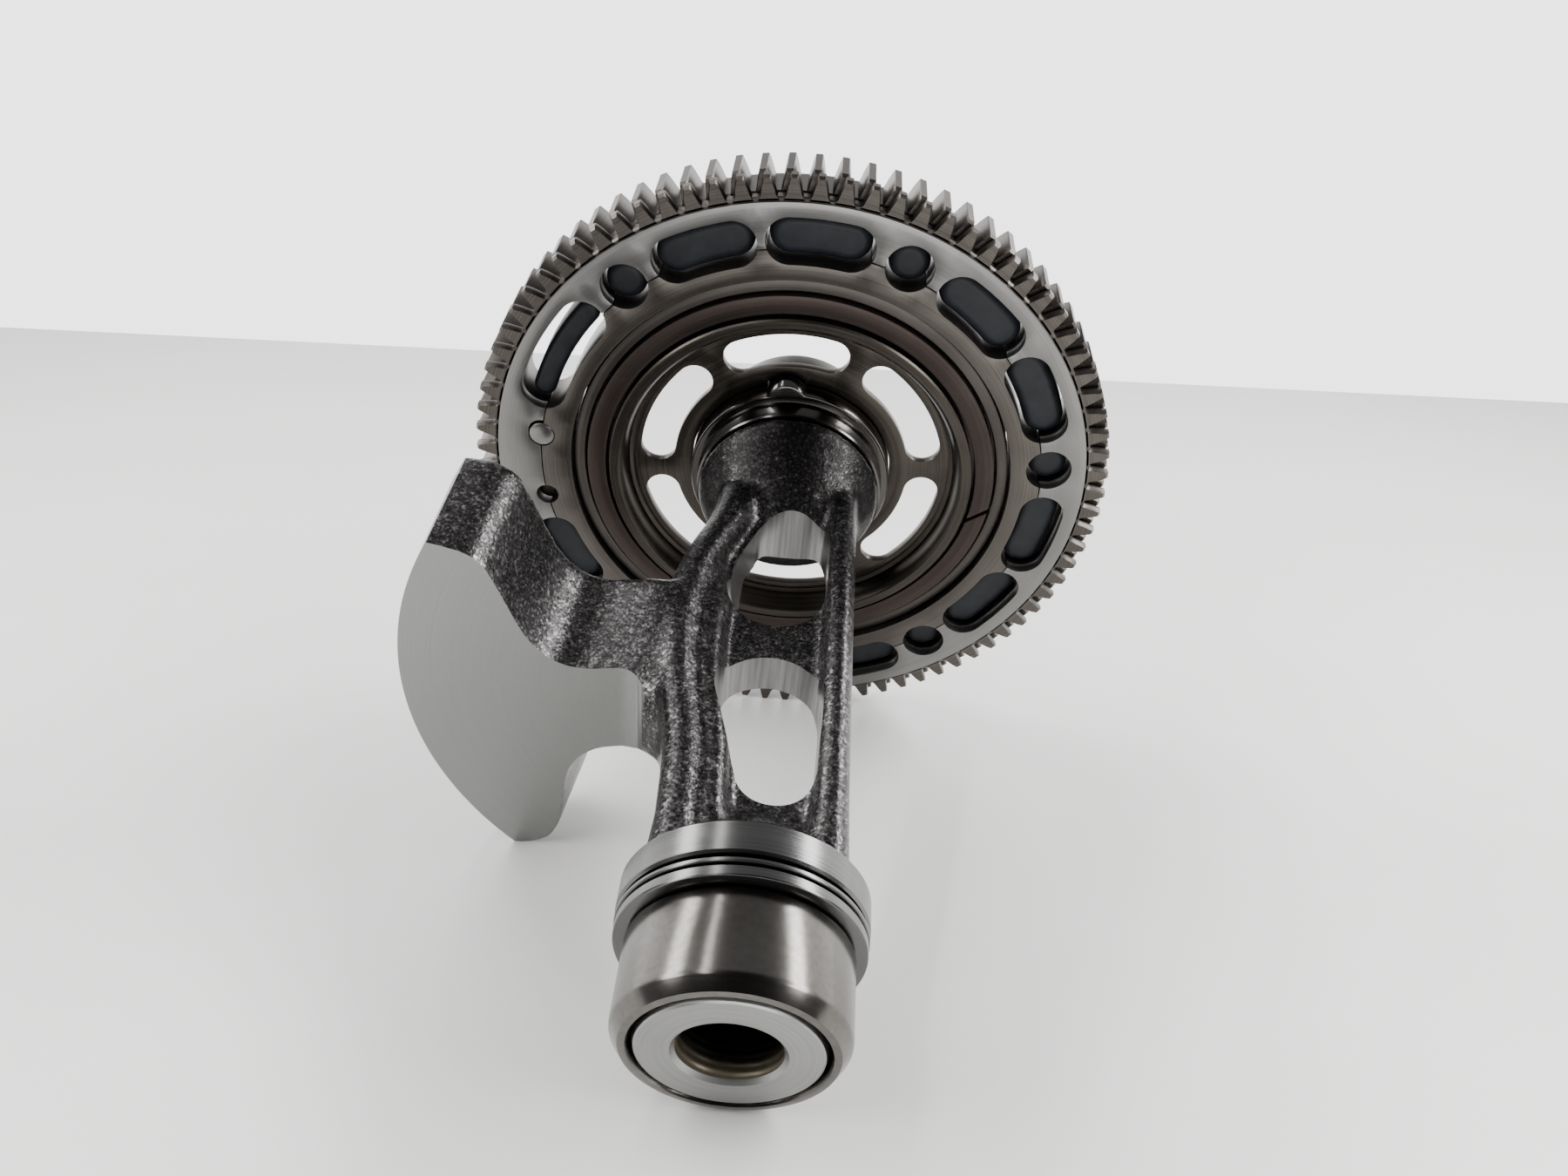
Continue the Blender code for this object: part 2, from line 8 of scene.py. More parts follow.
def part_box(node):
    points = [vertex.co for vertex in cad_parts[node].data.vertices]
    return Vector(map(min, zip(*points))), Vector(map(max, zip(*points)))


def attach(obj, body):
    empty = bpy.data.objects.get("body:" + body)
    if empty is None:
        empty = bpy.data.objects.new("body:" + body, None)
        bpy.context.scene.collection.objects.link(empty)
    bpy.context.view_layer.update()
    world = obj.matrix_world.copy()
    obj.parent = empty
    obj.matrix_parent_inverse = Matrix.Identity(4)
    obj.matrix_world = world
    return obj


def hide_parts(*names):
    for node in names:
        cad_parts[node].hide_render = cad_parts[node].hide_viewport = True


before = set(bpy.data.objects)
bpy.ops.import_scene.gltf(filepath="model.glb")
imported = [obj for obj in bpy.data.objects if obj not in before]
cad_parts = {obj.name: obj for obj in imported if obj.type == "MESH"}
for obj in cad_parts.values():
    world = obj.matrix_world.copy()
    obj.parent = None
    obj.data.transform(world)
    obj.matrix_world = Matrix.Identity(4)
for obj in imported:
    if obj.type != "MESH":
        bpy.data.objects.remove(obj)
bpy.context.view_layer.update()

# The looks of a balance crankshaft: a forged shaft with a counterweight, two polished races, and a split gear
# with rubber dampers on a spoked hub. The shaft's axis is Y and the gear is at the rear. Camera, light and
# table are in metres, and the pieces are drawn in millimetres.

# ---- The camera and the light ----
# The camera looks down along the shaft from the front race. Three long strip lights hang over the part and
# a soft one stands in front of it, in a white room with a dim ceiling.

camera = bpy.data.objects.new("camera", bpy.data.cameras.new("camera"))
bpy.context.scene.collection.objects.link(camera)
bpy.context.scene.camera = camera
camera.data.sensor_width = 36.0
camera.data.lens = 28.70
camera.data.clip_start = 0.01
look_right = Vector((0.9946, 0.0637, 0.0819)).normalized()
look_along = Vector((0.0049, 0.7592, -0.6509)).normalized()
look_up = look_right.cross(look_along)
turn = Matrix((look_right, look_up, -look_along)).transposed()
camera.matrix_world = Matrix.Translation((0.0, -0.27399, 0.17571)) @ turn.to_4x4()


def light(name, place, aim, size, power):
    lamp = bpy.data.lights.new(name, "AREA")
    lamp.shape = "RECTANGLE"
    lamp.size, lamp.size_y = size
    lamp.energy = power
    made = bpy.data.objects.new(name, lamp)
    bpy.context.scene.collection.objects.link(made)
    direction = Vector(aim) - Vector(place)
    made.location = place
    made.rotation_euler = direction.to_track_quat("-Z", "Y").to_euler()


# The strips run along the shaft, so they lie as long streaks on its polished races.
STRIP_AIM = (0.0, 0.1, 0.0)
light("left_strip", (-0.50, 0.1, 0.31), STRIP_AIM, (1.0, 0.15), 6.0)
light("narrow_strip", (-0.25, 0.1, 0.47), STRIP_AIM, (1.0, 0.025), 1.5)
light("right_strip", (0.45, 0.1, 0.31), STRIP_AIM, (1.0, 0.13), 8.5)
light("front_softbox", (0.05, -0.75, 0.04), (0.0, -0.1, 0.0), (0.5, 0.22), 2.0)


class Value:
    """A shader socket. Arithmetic on it adds Math nodes."""

    def __init__(self, tree, socket):
        self.tree = tree
        self.socket = socket

    def math(self, operation, *terms):
        node = self.tree.nodes.new("ShaderNodeMath")
        node.operation = operation
        for term, into in zip(terms, node.inputs):
            if isinstance(term, Value):
                self.tree.links.new(term.socket, into)
            else:
                into.default_value = term
        return Value(self.tree, node.outputs[0])

    def __add__(self, other):
        return self.math("ADD", self, other)

    __radd__ = __add__

    def __sub__(self, other):
        return self.math("SUBTRACT", self, other)

    def __rsub__(self, other):
        return self.math("SUBTRACT", other, self)

    def __mul__(self, other):
        return self.math("MULTIPLY", self, other)

    __rmul__ = __mul__

    def __pow__(self, other):
        return self.math("POWER", self, other)

    def __rpow__(self, other):
        return self.math("POWER", other, self)


class Nodes:
    """A shader's node tree, built up through its sockets."""

    def __init__(self, tree):
        self.tree = tree

    def feed(self, node, inputs):
        for key, value in inputs.items():
            socket = node.inputs[key]
            if isinstance(value, Value):
                self.tree.links.new(value.socket, socket)
            else:
                socket.default_value = value

    def node(self, kind, settings=None, inputs=None, output=0):
        node = self.tree.nodes.new(kind)
        settings = dict(settings or {})
        stops = settings.pop("stops", ())
        for key, value in settings.items():
            setattr(node, key, value)
        if stops:
            ramp = node.color_ramp
            while len(ramp.elements) < len(stops):
                ramp.elements.new(0.5)
            for element, (position, colour) in zip(ramp.elements, stops):
                element.position = position
                element.color = (*colour, 1.0)
        self.feed(node, inputs or {})
        return Value(self.tree, node.outputs[output])

    def colours(self, factor, *stops):
        return self.node("ShaderNodeValToRGB", {"stops": stops}, {"Fac": factor})

    def parts(self, vector):
        """The vector's x, y and z."""
        split = self.node("ShaderNodeSeparateXYZ", None, {0: vector})
        return [Value(self.tree, socket) for socket in split.socket.node.outputs]


def grey(level):
    return (level, level, level)


# The room is white from the table up to eye level. The ceiling and the camera's side are dimmer.
room = bpy.data.worlds.new("white_room")
bpy.context.scene.world = room
room.use_nodes = True
room_nodes = Nodes(room.node_tree)
_, inward, upward = room_nodes.parts(room_nodes.node("ShaderNodeTexCoord", output="Generated"))
by_depth = room_nodes.colours(inward * 0.5 + 0.5, (0.0, grey(0.05)), (0.42, grey(0.10)), (0.62, grey(1.0)))
by_height = room_nodes.colours(upward * 0.5 + 0.5, (0.45, grey(1.0)), (0.60, grey(0.70)), (0.72, grey(0.12)))
both = room_nodes.node("ShaderNodeVectorMath", {"operation": "MULTIPLY"}, {0: by_depth, 1: by_height})
room_nodes.feed(room.node_tree.nodes["Background"], {"Color": both, "Strength": 3.2})

# ---- The white table ----
# A plain pale board. The part lies on it loose, on three points: the gear's rim, the front race's chamfer
# and the counterweight's lower horn.

TABLE_HALF, TABLE_FRONT, TABLE_BACK = 0.6, -0.235, 0.55
TABLE_DROP = 0.0006  # clear of the gear's teeth
RACE_CHAMFER = 0.003  # the race rests just behind it

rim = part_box("main_gear")
rim_foot = Vector((0.0, rim[0][1], rim[0][2]))
race_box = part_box("front_race")
race_foot = Vector((0.0, race_box[0][1] + RACE_CHAMFER, race_box[0][2]))
horn_foot = Vector((-0.0476, -0.1061, -0.0478))
lift = (race_foot - rim_foot).cross(horn_foot - rim_foot)
lift = lift.normalized() if lift.z > 0 else -lift.normalized()


class Finish(Nodes):
    """A material, built around its Principled shader."""

    def __init__(self, name, **constants):
        self.material = bpy.data.materials.new(name)
        self.material.use_nodes = True
        super().__init__(self.material.node_tree)
        self.shader = self.tree.nodes["Principled BSDF"]
        self.feed(self.shader, constants)

    def here(self):
        return self.node("ShaderNodeTexCoord", output="Object")

    def place(self):
        """Object coordinates as a vector, and the radius from the shaft's axis, the angle and the length."""
        here = self.here()
        x, y, z = self.parts(here)
        radius = (x * x + z * z) ** 0.5
        return here, radius, x.math("ARCTAN2", z, x), y

    def noise(self, vector, scale, detail=2.0, rough=0.5):
        inputs = {"Vector": vector, "Scale": scale, "Detail": detail, "Roughness": rough}
        return self.node("ShaderNodeTexNoise", None, inputs)

    def bump(self, height, distance, strength=1.0):
        inputs = {"Height": height, "Distance": distance, "Strength": strength}
        self.feed(self.shader, {"Normal": self.node("ShaderNodeBump", None, inputs)})


def table():
    across = Vector((1.0, 0.0, 0.0))
    across = (across - across.dot(lift) * lift).normalized()
    along = lift.cross(across)
    ground = rim_foot - lift * TABLE_DROP
    start = (Vector((0.0, TABLE_FRONT, 0.0)) - ground).dot(along)
    corners = [(-TABLE_HALF, start), (TABLE_HALF, start), (TABLE_HALF, TABLE_BACK), (-TABLE_HALF, TABLE_BACK)]
    mesh = bpy.data.meshes.new("table")
    mesh.from_pydata([ground + across * x + along * y for x, y in corners], [], [(0, 1, 2, 3)])
    board = bpy.data.objects.new("table", mesh)
    bpy.context.scene.collection.objects.link(board)
    finish = Finish("pale_board", Metallic=0.0)
    stain = finish.noise(finish.here(), 9.0, 4.0)
    colour = finish.colours(stain, (0.3, (0.80, 0.79, 0.77)), (0.7, (0.86, 0.86, 0.85)))
    finish.feed(finish.shader, {"Base Color": colour, "Roughness": stain * 0.2 + 0.25})
    mesh.materials.append(finish.material)


table()

# ---- The forged shaft ----
# One steel forging, shot-blasted dark grey: two ribs joined by a web, a counterweight on an arm, a round
# head at the gear end and a neck at the front. The windows and the weight's front face are machined after.

MM = 0.001
GEAR_FACE = -30.0
FORGE_END = -148.6
WEB_HALF = 4.3
WEIGHT_R = 70.9
WEIGHT_THICK = 23.7
STOCK = 1.6  # forged past the weight's front and outer arc, then cut away
RIB_FILL_HALF = 8.0
SKIN_GRID = 0.9  # the grid that the forging's skin is drawn on
FILLET_PASSES = 16  # rounds of smoothing, which give the forging its fillets


def mesh_object(name, points, faces, material=None):
    mesh = bpy.data.meshes.new(name)
    mesh.from_pydata([Vector(point) * MM for point in points], [], faces)
    skin = bmesh.new()
    skin.from_mesh(mesh)
    bmesh.ops.remove_doubles(skin, verts=skin.verts, dist=1e-7)
    bmesh.ops.recalc_face_normals(skin, faces=skin.faces)
    skin.to_mesh(mesh)
    skin.free()
    made = bpy.data.objects.new(name, mesh)
    bpy.context.scene.collection.objects.link(made)
    if material:
        mesh.materials.append(material)
    return made


def loft(name, loops, material=None):
    """A closed solid through loops that have as many points each."""
    count = len(loops[0])
    points = [point for loop in loops for point in loop]
    faces = [list(range(count)), list(range(len(points) - count, len(points)))]
    for row in range(len(loops) - 1):
        for i in range(count):
            j = (i + 1) % count
            faces.append([row * count + i, row * count + j, (row + 1) * count + j, (row + 1) * count + i])
    return mesh_object(name, points, faces, material)


def bake(made):
    """Applies the object's modifiers to its mesh."""
    bpy.context.view_layer.update()
    seen = made.evaluated_get(bpy.context.evaluated_depsgraph_get())
    mesh = bpy.data.meshes.new_from_object(seen)
    made.modifiers.clear()
    made.data = mesh


def soften(made, degrees):
    """Smooth shading, with an edge left sharp where its faces meet at more than the angle."""
    made.data.shade_smooth()
    made.data.set_sharp_from_angle(angle=math.radians(degrees))


def belongs(made, body, slot_name, *nodes):
    """Fixes the piece to its body and hides the plain solids it stands for. The slot_name is not used."""
    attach(made, body)
    if nodes:
        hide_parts(*nodes)


def join_in(target, others):
    """Adds the other objects' meshes to the target's mesh."""
    whole = bmesh.new()
    whole.from_mesh(target.data)
    for other in others:
        whole.from_mesh(other.data)
        bpy.data.objects.remove(other, do_unlink=True)
    whole.to_mesh(target.data)
    whole.free()


def rib(name, stations, sides=24):
    """A bar along Y, round at top and bottom, through stations of (y, x, z, half width, half height)."""
    loops = []
    for y, x, z, wide, high in stations:
        loop = []
        for i in range(sides):
            turn = 2 * math.pi * (i + 0.5) / sides
            c, s = math.cos(turn), math.sin(turn)
            loop.append((x + wide * c, y, z + wide * s + math.copysign(max(high - wide, 0.0), s)))
        loops.append(loop)
    return loft(name, loops)


def smooth_stations(stations, count):
    """More stations on a Catmull-Rom curve through the given ones."""
    found = []
    spans = len(stations) - 1
    for k in range(count + 1):
        at = min(k * spans / count, spans - 1e-6)
        i = int(at)
        t = at - i
        a, b = stations[max(i - 1, 0)], stations[i]
        c, d = stations[i + 1], stations[min(i + 2, spans)]
        found.append(tuple(0.5 * (2 * q + (r - p) * t + (2 * p - 5 * q + 4 * r - s) * t * t
                                  + (3 * q - p - 3 * r + s) * t**3) for p, q, r, s in zip(a, b, c, d)))
    return found


def ahead(distance):
    return GEAR_FACE - distance


right_rib = [
    (ahead(4.0), 11.6, 0.0, 5.4, 10.5), (ahead(12.0), 12.2, 0.0, 4.0, 9.2),
    (ahead(24.0), 12.9, 0.0, 3.3, 8.4), (ahead(60.0), 13.2, 0.0, 3.1, 8.2),
    (ahead(96.0), 13.3, 0.0, 3.2, 8.3), (FORGE_END, 12.8, 0.0, 4.2, 9.0)]
left_outer = [
    (ahead(4.0), -9.0, 0.0, 7.0, 11.0), (ahead(14.0), -9.8, 0.0, 5.4, 9.4),
    (ahead(25.7), -12.4, 0.0, 4.4, 9.6), (ahead(36.0), -15.6, 0.0, 4.1, 10.0),
    (ahead(46.8), -18.0, 0.0, 3.9, 10.4), (ahead(56.7), -19.0, 0.0, 3.9, 10.6),
    (ahead(64.2), -18.9, 0.0, 3.9, 10.6), (ahead(76.2), -17.6, 0.0, 3.8, 10.3),
    (ahead(82.9), -16.2, 0.0, 3.7, 9.9), (ahead(93.5), -14.2, 0.0, 3.7, 9.6),
    (ahead(108.0), -13.4, 0.0, 3.7, 9.4), (FORGE_END, -13.4, 0.0, 4.4, 9.8)]
left_inner = [
    (ahead(40.0), -13.8, 0.0, 3.0, 6.0), (ahead(54.0), -12.6, 0.0, 3.2, 8.2),
    (ahead(62.0), -12.6, 0.0, 3.2, 8.6), (ahead(72.2), -11.8, 0.0, 3.0, 8.6),
    (ahead(81.2), -10.2, 0.0, 2.8, 8.5), (ahead(91.9), -8.4, 0.0, 2.7, 8.4),
    (ahead(101.9), -7.7, 0.0, 2.7, 8.4), (FORGE_END, -7.0, 0.0, 3.4, 8.8)]
forging = rib("forged_body", smooth_stations(right_rib, 26))
parts = [rib("left_rib", smooth_stations(left_outer, 48)), rib("inner_rib", smooth_stations(left_inner, 30))]

# The web between the ribs, and the fill inside the left rib's two ridges.
web_edge = [(-16.0, ahead(2.0)), (13.0, ahead(2.0)), (13.0, FORGE_END), (-12.0, FORGE_END),
            (-13.0, ahead(90.0)), (-17.0, ahead(74.0)), (-17.5, ahead(52.0)), (-14.0, ahead(30.0))]
parts.append(loft("web", [[(x, y, z) for x, y in web_edge] for z in (-WEB_HALF, WEB_HALF)]))
fill_edge = [(-17.0, ahead(44.0)), (-14.0, ahead(44.0)), (-13.0, ahead(72.0)), (-9.5, ahead(92.0)),
             (-8.6, FORGE_END), (-12.0, FORGE_END), (-14.5, ahead(88.0)), (-18.5, ahead(66.0))]
parts.append(loft("rib_fill", [[(x, y, z) for x, y in fill_edge] for z in (-RIB_FILL_HALF, RIB_FILL_HALF)]))


def oval(y, wide, high, shift, sides=40):
    angles = [2 * math.pi * i / sides for i in range(sides)]
    return [(shift + wide * math.cos(angle), y, high * math.sin(angle)) for angle in angles]


# The round head in front of the gear seat runs down into the ribs, and the neck runs up to the collar.
head_rings = [(ahead(4.75), 21.5, 21.5, 0.0), (ahead(6.2), 21.4, 21.4, 0.0), (ahead(9.5), 19.5, 17.5, 0.0),
              (ahead(14.0), 17.0, 12.5, 0.2), (ahead(19.0), 15.6, 8.0, 0.4), (ahead(23.0), 14.6, 5.0, 0.6)]
parts.append(loft("head", [oval(*ring) for ring in head_rings]))
neck_rings = [(FORGE_END + 14.0, 10.0, 4.6, 0.0), (FORGE_END + 9.0, 13.0, 7.5, 0.0),
              (FORGE_END + 4.0, 15.6, 11.5, 0.0), (FORGE_END, 17.6, 16.5, 0.0)]
parts.append(loft("neck", [oval(*ring) for ring in neck_rings]))

WEIGHT_FRONT = ahead(76.1)


def weight_outline(draft):
    """The counterweight's outline in (x, z): outer arc, lower horn, arm, and the hollow up to the crown."""
    first, last = math.radians(151.9 - draft * 0.7), math.radians(223.0 + draft * 0.3)
    angles = [first + (last - first) * i / 24 for i in range(25)]
    outer = [((WEIGHT_R + STOCK) * math.cos(angle), (WEIGHT_R + STOCK) * math.sin(angle)) for angle in angles]
    horn = [(-49.5, -48.6), (-46.5, -47.7), (-43.6, -45.6), (-41.6, -41.4), (-40.7, -35.4), (-40.0, -28.4),
            (-39.0, -23.0), (-36.4, -18.4), (-32.8, -15.6), (-28.6, -14.4), (-23.4, -13.4), (-13.0, -7.0)]
    top = [(-13.0, 6.0), (-18.6, 8.3), (-24.0, 8.5), (-28.6, 7.8), (-33.7, 6.7), (-37.3, 6.6), (-40.6, 7.7),
           (-43.5, 10.0), (-45.9, 13.5), (-47.8, 18.0), (-49.8, 23.4), (-52.2, 29.2), (-54.3, 31.5),
           (-56.8, 32.7)]
    grown = []
    for x, z in horn:
        grown.append((x + draft * 0.8, z - draft * 0.2 if z > -40 else z))
    for x, z in top:
        grown.append((x + draft * 0.55, z + draft * 0.95 * min(1.0, (-13.0 - x) / 12.0)))
    return outer + grown


# The arm's root swells forward so that the faced front can sweep up into the rib.
root_rings = [(WEIGHT_FRONT - 9.0, -17.5, -1.5, 3.5, 6.5), (WEIGHT_FRONT - 5.0, -19.4, -2.0, 5.2, 8.8),
              (WEIGHT_FRONT - 2.0, -21.0, -2.4, 6.8, 10.6), (WEIGHT_FRONT + 3.0, -22.0, -2.6, 7.2, 11.4),
              (WEIGHT_FRONT + 14.0, -20.0, -2.4, 6.0, 10.8)]
parts.append(rib("arm_root", smooth_stations(root_rings, 16)))
draft_at = ((-STOCK, -0.2), (0.0, 0.0), (12.0, 1.8), (WEIGHT_THICK - 1.3, 3.4), (WEIGHT_THICK + 0.3, 3.3))
parts.append(loft("weight", [[(x, WEIGHT_FRONT + depth, z) for x, z in weight_outline(draft)]
                             for depth, draft in draft_at]))

join_in(forging, parts)

# The ribs, web, head, neck and weight become one skin.
remesh = forging.modifiers.new("Remesh", "REMESH")
remesh.mode = "VOXEL"
remesh.voxel_size = SKIN_GRID * MM
relax = forging.modifiers.new("Smooth", "SMOOTH")
relax.factor = 0.5
relax.iterations = FILLET_PASSES
bake(forging)


def forged_steel():
    """Dark blasted steel whose fine grain glitters. The grain's colour carries painted glints and painted
    shade in its dents, and its head is painted darker as painted shade.
    """
    finish = Finish("forged_steel", Metallic=1.0)
    here, _, _, length = finish.place()
    cells = {"Vector": here, "Scale": 1900.0}
    grain = finish.node("ShaderNodeTexVoronoi", {"feature": "F1"}, cells, "Color")
    glint = finish.node("ShaderNodeSeparateColor", None, {0: grain})
    fine = finish.noise(here, 1900.0, 3.0, 0.6)
    coarse = finish.noise(here, 800.0, 2.0)
    patches = finish.noise(here, 60.0, 2.0)
    # Painted shade: the forging is painted darker towards the gear, fully from 36 mm in front of the origin,
    # so the head is darker.
    behind = (length + 0.056) * 50.0
    head_shade = behind.math("MINIMUM", behind.math("MAXIMUM", behind, 0.0), 1.0)
    # Partly random grain tone, partly painted light and shade: the bump's dents are painted darker and its
    # peaks lighter, and the grain cells add bright specks as painted glints.
    bright = glint * glint * 0.14 + fine * 0.56 + coarse * 0.3 - head_shade * 0.15
    colour = finish.colours(bright, (0.34, (0.016, 0.0150, 0.0148)), (0.50, (0.056, 0.053, 0.053)),
                            (0.68, (0.27, 0.262, 0.262)))
    finish.feed(finish.shader, {"Base Color": colour, "Roughness": patches * 0.1 + fine * 0.16 + 0.16})
    finish.bump(coarse * 0.4 + fine * 0.6 + glint * 0.2, 0.00016, 1.0)
    return finish.material


FORGED = forged_steel()


def window_metal():
    """Milled walls of the windows: fine upright tool lines along the cutter's way."""
    finish = Finish("milled_steel", Metallic=1.0)
    scales = {0: finish.here(), 1: (1100.0, 1100.0, 50.0)}
    stretch = finish.node("ShaderNodeVectorMath", {"operation": "MULTIPLY"}, scales)
    lines = finish.noise(stretch, 1.0, 2.0)
    colour = finish.colours(lines, (0.3, (0.14, 0.137, 0.133)), (0.7, (0.25, 0.246, 0.242)))
    finish.feed(finish.shader, {"Base Color": colour, "Roughness": lines * 0.2 + 0.22})
    finish.bump(lines, 0.00001)
    return finish.material


def turned_metal(name, dark, light, roughness, ring_scale, bump=0.000004, metallic=1.0, cloud=45.0):
    """Metal turned or ground round the shaft: fine rings on its faces and round its outside."""
    finish = Finish(name, Metallic=metallic)
    here, radius, angle, length = finish.place()
    around = {0: radius * ring_scale, 1: length * ring_scale, 2: angle * 0.35}
    track = finish.node("ShaderNodeCombineXYZ", None, around)
    rings = finish.noise(track, 1.0, 3.0, 0.6)
    patches = finish.noise(here, cloud, 3.0)
    mix = rings * 0.6 + patches * 0.4
    colour = finish.colours(mix, (0.35, dark), (0.65, light))
    gloss = patches * 0.06 + rings * 0.12 + (roughness - 0.09)
    finish.feed(finish.shader, {"Base Color": colour, "Roughness": gloss})
    finish.bump(rings, bump)
    return finish.material


MILLED = window_metal()
FACED = turned_metal("faced_steel", (0.235, 0.238, 0.230), (0.265, 0.268, 0.260), 0.42, 2600.0, 0.0000012,
                     cloud=14.0)

forging.data.materials.clear()
forging.data.materials.append(FORGED)


def cut(target, cutter):
    """Machines the cutter's shape away. The new faces keep the cutter's material."""
    step = target.modifiers.new("Cut", "BOOLEAN")
    step.operation = "DIFFERENCE"
    step.solver = "EXACT"
    step.object = cutter
    step.material_mode = "TRANSFER"
    bake(target)
    bpy.data.objects.remove(cutter, do_unlink=True)


def hull_of_circles(first, first_r, second, second_r, steps=28):
    """The outline of two circles and the two straight sides that touch both."""
    dx, dy = second[0] - first[0], second[1] - first[1]
    along = math.atan2(dy, dx)
    lean = math.acos((first_r - second_r) / math.hypot(dx, dy))
    points = []
    for centre, radius, start, end in ((first, first_r, along + lean, along + 2 * math.pi - lean),
                                       (second, second_r, along - lean, along + lean)):
        for i in range(steps + 1):
            a = start + (end - start) * i / steps
            points.append((centre[0] + radius * math.cos(a), centre[1] + radius * math.sin(a)))
    return points


WINDOW_CUT = 14.0  # how far each way from the web's middle the cutter reaches


def window_cutter(name, top, bottom):
    loops = [[(x, y, -WINDOW_CUT) for x, y in bottom], [(x, y, WINDOW_CUT) for x, y in top]]
    return loft(name, loops, MILLED)


cut(forging, window_cutter(
    "rear_window",
    hull_of_circles((1.6, ahead(28.7)), 8.4, (-1.5, ahead(45.6)), 11.2),
    hull_of_circles((2.7, ahead(28.7)), 8.3, (2.7, ahead(46.4)), 8.7)))
cut(forging, window_cutter(
    "front_window",
    hull_of_circles((0.4, ahead(76.1)), 10.6, (2.9, ahead(95.2)), 7.4),
    hull_of_circles((0.4, ahead(76.1)), 10.4, (2.9, ahead(95.2)), 7.4)))

# The weight's front is faced square to the shaft, up to a scallop where the cutter met the rib.
SWEEP_R, SWEEP_TURN, SWEEP_START = 6.5, math.radians(76), -29.0
FACE_OUTER, FACE_CUT = -76.0, WEIGHT_FRONT - 9.0
sweep = [(SWEEP_START + SWEEP_R * math.sin(a), WEIGHT_FRONT - SWEEP_R * (1 - math.cos(a)))
         for a in (SWEEP_TURN * i / 12 for i in range(13))]
face_edge = [(FACE_OUTER, WEIGHT_FRONT)] + sweep + [(-23.2, FACE_CUT), (FACE_OUTER, FACE_CUT)]
cut(forging, loft("face_cutter", [[(x, y, z) for x, y in face_edge] for z in (-60.0, 60.0)], FACED))

# The weight's outer arc is trimmed to its radius, and looks as blasted as the rest.
ARC_FRONT, ARC_BACK, ARC_OUTER = -112.0, -72.0, WEIGHT_R + 9.0
arc_edge = [(WEIGHT_R, ARC_FRONT), (ARC_OUTER, ARC_FRONT), (ARC_OUTER, ARC_BACK), (WEIGHT_R, ARC_BACK)]
arc_loops = [[(radius * math.cos(a), y, radius * math.sin(a)) for radius, y in arc_edge]
             for a in (math.radians(degrees) for degrees in range(120, 241))]
cut(forging, loft("arc_cutter", arc_loops, FORGED))
soften(forging, 48)
belongs(forging, "shaft", "forged_steel", "balance_shaft")

# ---- Ground seats, collar and journal ends of the shaft ----
# Turned on the same forging after it was blasted: the gear seat with its locating lobe, the front collar,
# and both journals, which show only as flat ends inside the races.

SEAT_R, SHOULDER_R = 23.7, 21.75
SEAT_FRONT = GEAR_FACE + 0.7
SEAT_BACK = SEAT_FRONT + 9.9
JOURNAL_R, END = 15.0, -177.6
COLLAR_R, COLLAR_FRONT, COLLAR_BACK = 21.0, -155.8, -149.4
LOBE_ANGLE, LOBE_R, LOBE_RISE = 96.6, 5.0, 2.2


def ring_points(radius, count, y, centre=(0.0, 0.0)):
    angles = [2 * math.pi * i / count for i in range(count)]
    x, z = centre
    return [(x + radius * math.cos(angle), y, z + radius * math.sin(angle)) for angle in angles]


def turned(name, profile, material, sides=160):
    """A closed ring or plug turned about Y from a profile of (radius, y) that runs round the section."""
    points, rows, faces = [], [], []
    for radius, y in profile:
        if radius == 0:
            rows.append([len(points)] * sides)
            points.append((0.0, y, 0.0))
        else:
            rows.append(range(len(points), len(points) + sides))
            points.extend(ring_points(radius, sides, y))
    for row, following in zip(rows, rows[1:] + rows[:1]):
        for i in range(sides):
            j = (i + 1) % sides
            face = list(dict.fromkeys((row[i], row[j], following[j], following[i])))
            if len(face) > 2:
                faces.append(face)
    made = mesh_object(name, points, faces, material)
    soften(made, 28)
    return made


TURNED = turned_metal("turned_steel", (0.095, 0.094, 0.092), (0.15, 0.148, 0.146), 0.24, 5200.0)
BRIGHT = turned_metal("bright_end_face", (0.225, 0.225, 0.22), (0.31, 0.31, 0.303), 0.34, 1700.0, 0.000004)
SEAT = turned_metal("seat_steel", (0.060, 0.056, 0.052), (0.11, 0.104, 0.098), 0.17, 4200.0, 0.0000015)

belongs(turned("gear_seat", [
    (0, ahead(4.6)), (SHOULDER_R - 0.3, ahead(4.6)), (SHOULDER_R, ahead(4.3)), (SHOULDER_R, ahead(0.2)),
    (SHOULDER_R + 0.25, SEAT_FRONT - 0.2), (SEAT_R - 0.3, SEAT_FRONT - 0.2), (SEAT_R, SEAT_FRONT + 0.3),
    (SEAT_R, SEAT_BACK), (0, SEAT_BACK)], SEAT), "shaft", "ground_steel")


def lobed_ring(radius, swell, lobe_r, y, sides=360):
    """A ring of points with a round lobe that stands out from it by the swell."""
    points = []
    centre = radius + swell - lobe_r
    for i in range(sides):
        away = math.radians(180.0 - 360.0 * i / sides)
        at = math.radians(LOBE_ANGLE) + away
        inside = lobe_r**2 - (centre * math.sin(away)) ** 2
        lobe = centre * math.cos(away) + math.sqrt(inside) if inside > 0 and math.cos(away) > 0 else 0.0
        reach = max(radius, lobe)
        points.append((reach * math.cos(at), y, reach * math.sin(at)))
    return points


